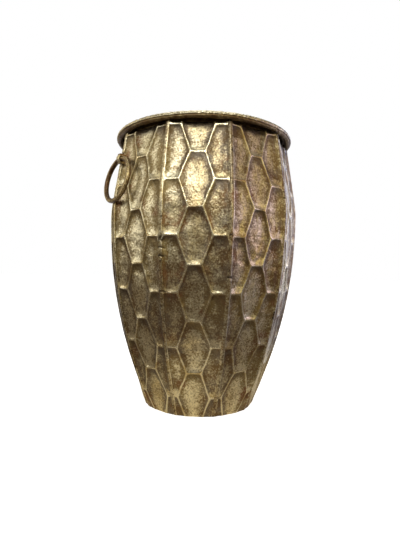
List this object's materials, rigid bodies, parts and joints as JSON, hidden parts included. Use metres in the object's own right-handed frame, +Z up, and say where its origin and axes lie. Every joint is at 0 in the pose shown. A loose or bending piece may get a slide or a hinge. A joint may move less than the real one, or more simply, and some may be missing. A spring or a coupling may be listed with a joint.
{
  "type": "planter pot",
  "caption": "Bulging decagonal brass planter pot with honeycomb-embossed panels, a rolled rim and ring handles that swing up at the sides.",
  "frame": {"origin": "centre of the pot's footprint, on the surface that it stands on", "axes": "+Z up through the mouth, +X and -X through the seams that carry the ring handles, -Y out of the middle of one panel"},
  "size_m": [0.267, 0.2424, 0.35],
  "materials": {
    "panel_brass": "antique brass, dark patina in the cells and ridges rubbed bright",
    "rim_brass": "antique brass, worn bright on the bead",
    "wire_brass": "dull brass wire",
    "pan_brass": "dark tarnished brass",
    "staple_brass": "antique brass strap",
    "ring_brass": "dark brown brass, lighter where it is handled"
  },
  "bodies": {
    "pot": {"panel_01": "panel_brass", "panel_02": "panel_brass", "panel_03": "panel_brass", "panel_04": "panel_brass", "panel_05": "panel_brass", "panel_06": "panel_brass", "panel_07": "panel_brass", "panel_08": "panel_brass", "panel_09": "panel_brass", "panel_10": "panel_brass", "rim_hoop": "rim_brass", "rim_wire": "wire_brass", "base_pan": "pan_brass", "staple_left": "staple_brass", "staple_right": "staple_brass"},
    "left_handle": {"ring_left": "ring_brass"},
    "right_handle": {"ring_right": "ring_brass"}
  },
  "joints": [
    {"name": "ring_left_swing", "type": "hinge", "parent": "pot", "child": "left_handle", "pos_m": [-0.12009, -0.00312, 0.307], "axis": [-0.1184, 0.993, 0], "range_deg": [0, 169]},
    {"name": "ring_right_swing", "type": "hinge", "parent": "pot", "child": "right_handle", "pos_m": [0.12009, 0.00312, 0.307], "axis": [0.1184, -0.993, 0], "range_deg": [0, 169]}
  ]
}
